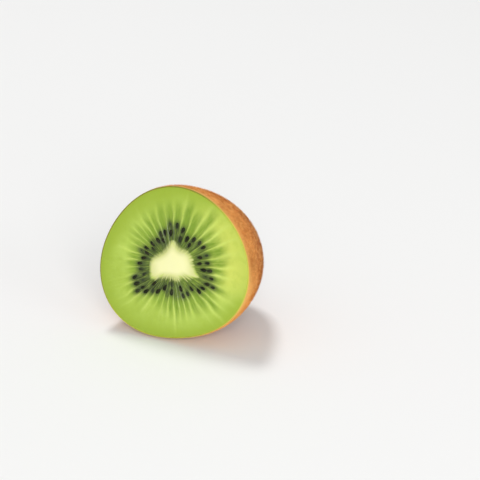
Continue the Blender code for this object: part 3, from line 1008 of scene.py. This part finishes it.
hair_draw = np.random.default_rng(RANDOM_SEED + 3)
root, outwards, to_cut, around = hair_roots(hair_draw)
strokes = root * np.array([1.0, 1.0, TUFT_STRETCH])
tone = 0.5 + TUFT_CONTRAST * plain_noise(strokes, size=HAIR_TUFT, seed=8.0)
tone += hair_draw.normal(0.0, TONE_SPREAD, HAIRS)
comb = COMB_SWIRL * plain_noise(root, size=3 * MM, seed=6.0)
comb += hair_draw.normal(0.0, COMB_SPREAD, HAIRS)
along_skin = to_cut * np.cos(comb)[:, None] + around * np.sin(comb)[:, None]
lean = np.radians(hair_draw.uniform(*HAIR_LEANS, HAIRS))[:, None]
hair_way = outwards * np.cos(lean) + along_skin * np.sin(lean)
hair_length = hair_draw.uniform(*HAIR_LENGTHS, HAIRS)[:, None]
hair_length = np.minimum(hair_length, HAIR_REACH / np.cos(lean))
grown = smooth(-root[:, 2:], 0.5 * MM, FULL_LENGTH_FROM)
hair_length *= SHORT_BY_CUT + (1 - SHORT_BY_CUT) * grown
tip = root + hair_way * hair_length
side = unit(np.cross(hair_way, around + 0.01))
other_side = np.cross(hair_way, side)
foot = root - outwards * HAIR_ROOT
corners = [foot + HAIR_RADIUS * (side * math.cos(t) + other_side * math.sin(t)) for t in HAIR_CORNERS]
hair_points = np.stack([*corners, tip], axis=1)
laid_points = lay_down(hair_points.reshape(-1, 3)).reshape(-1, 4, 3)
kept = (laid_points[:, :, 2].min(axis=1) > 0.0) & (-tip[:, 2] > TIP_BELOW_CUT)
bald = SCAR_RADIUS - (0.5 + 0.5 * hair_draw.normal(size=HAIRS)) * MM
kept &= (np.hypot(root[:, 0], root[:, 1]) > bald) | (root[:, 2] > STEM_END)
fuzz_finish = fuzz_material()
piece_points = np.array_split(laid_points[kept], HAIR_PIECES)
piece_tones = np.array_split(tone[kept], HAIR_PIECES)
for number, (points, tones) in enumerate(zip(piece_points, piece_tones), 1):
    faces = (np.arange(len(points))[:, None, None] * 4 + HAIR_SIDES).reshape(-1, 3)
    fuzz_mesh = bpy.data.meshes.new(f"fuzz_{number}")
    fuzz_mesh.from_pydata(points.reshape(-1, 3).tolist(), [], faces.tolist())
    mark(fuzz_mesh, "tip", np.tile([0.0, 0.0, 0.0, 1.0], len(points)))
    mark(fuzz_mesh, "tone", np.repeat(tones, 4))
    finish_piece(fuzz_mesh, fuzz_finish)

# The table. A plain pale top, matt and level, far wider than the view. The fruit only rests on it,
# so it is staged, and isn't part of the object.
TABLE_SIZE = 6.0
TABLE_WHITE = (0.86, 0.86, 0.855, 1)

table_shape = bmesh.new()
bmesh.ops.create_grid(table_shape, x_segments=1, y_segments=1, size=TABLE_SIZE / 2)
table_mesh = bpy.data.meshes.new("table")
table_shape.to_mesh(table_mesh)
table_shape.free()
table_finish, _, _ = new_material("pale_table", Roughness=0.9, Base_Color=TABLE_WHITE)
table_mesh.materials.append(table_finish)
table = bpy.data.objects.new("table", table_mesh)
bpy.context.scene.collection.objects.link(table)

# The light. A white room, a wide lamp above and behind that lays a soft shadow to the right of the
# fruit, and two wide lamps near the viewer that fill the cut and the skin.
ROOM_WHITE = (1.0, 1.0, 0.995, 1)
ROOM_STRENGTH = 0.44
# Each lamp's name, place, width and power in watts.
LAMPS = (
    ("high_lamp", (-0.62, 0.60, 1.85), 0.4, 17.5),
    ("front_lamp", (1.00, -1.40, 0.78), 1.0, 20.5),
    ("side_lamp", (1.50, -0.30, 0.30), 0.7, 4.0),
)

room = bpy.data.worlds.new("white_room")
room.use_nodes = True
room.node_tree.nodes["Background"].inputs["Color"].default_value = ROOM_WHITE
room.node_tree.nodes["Background"].inputs["Strength"].default_value = ROOM_STRENGTH
bpy.context.scene.world = room
bpy.context.scene.view_settings.view_transform = "Standard"

for lamp_name, lamp_place, lamp_size, lamp_power in LAMPS:
    lamp_data = bpy.data.lights.new(lamp_name, "AREA")
    lamp_data.size = lamp_size
    lamp_data.energy = lamp_power
    lamp = bpy.data.objects.new(lamp_name, lamp_data)
    bpy.context.scene.collection.objects.link(lamp)
    lamp.location = lamp_place
    lamp.rotation_euler = lamp.location.to_track_quat("Z", "Y").to_euler()

# The camera. It stands to the right of the cut and a little above it, with a long lens, and looks
# past the fruit's upper right, so that the fruit lies left of the middle.
VIEW_AZIMUTH = math.radians(28.6)
VIEW_ELEVATION = math.radians(24)
VIEW_DISTANCE = 0.45
VIEW_WIDTH = 153.6 * MM
LOOK_RIGHT = 21.9 * MM
LOOK_UP = 7.65 * MM
SENSOR_WIDTH = 36.0

camera_data = bpy.data.cameras.new("camera")
camera_data.sensor_width = SENSOR_WIDTH
camera_data.lens = SENSOR_WIDTH * VIEW_DISTANCE / VIEW_WIDTH
camera_data.clip_start = 0.01
camera = bpy.data.objects.new("camera", camera_data)
bpy.context.scene.collection.objects.link(camera)
level_back = Vector((math.sin(VIEW_AZIMUTH), -math.cos(VIEW_AZIMUTH), 0.0))
view_right = Vector((math.cos(VIEW_AZIMUTH), math.sin(VIEW_AZIMUTH), 0.0))
view_back = level_back * math.cos(VIEW_ELEVATION) + Vector((0, 0, math.sin(VIEW_ELEVATION)))
view_up = view_back.cross(view_right)
camera.location = cut_middle + view_back * VIEW_DISTANCE
looked_at = cut_middle + view_right * LOOK_RIGHT + view_up * LOOK_UP
camera.rotation_euler = (camera.location - looked_at).to_track_quat("Z", "Y").to_euler()
bpy.context.scene.camera = camera
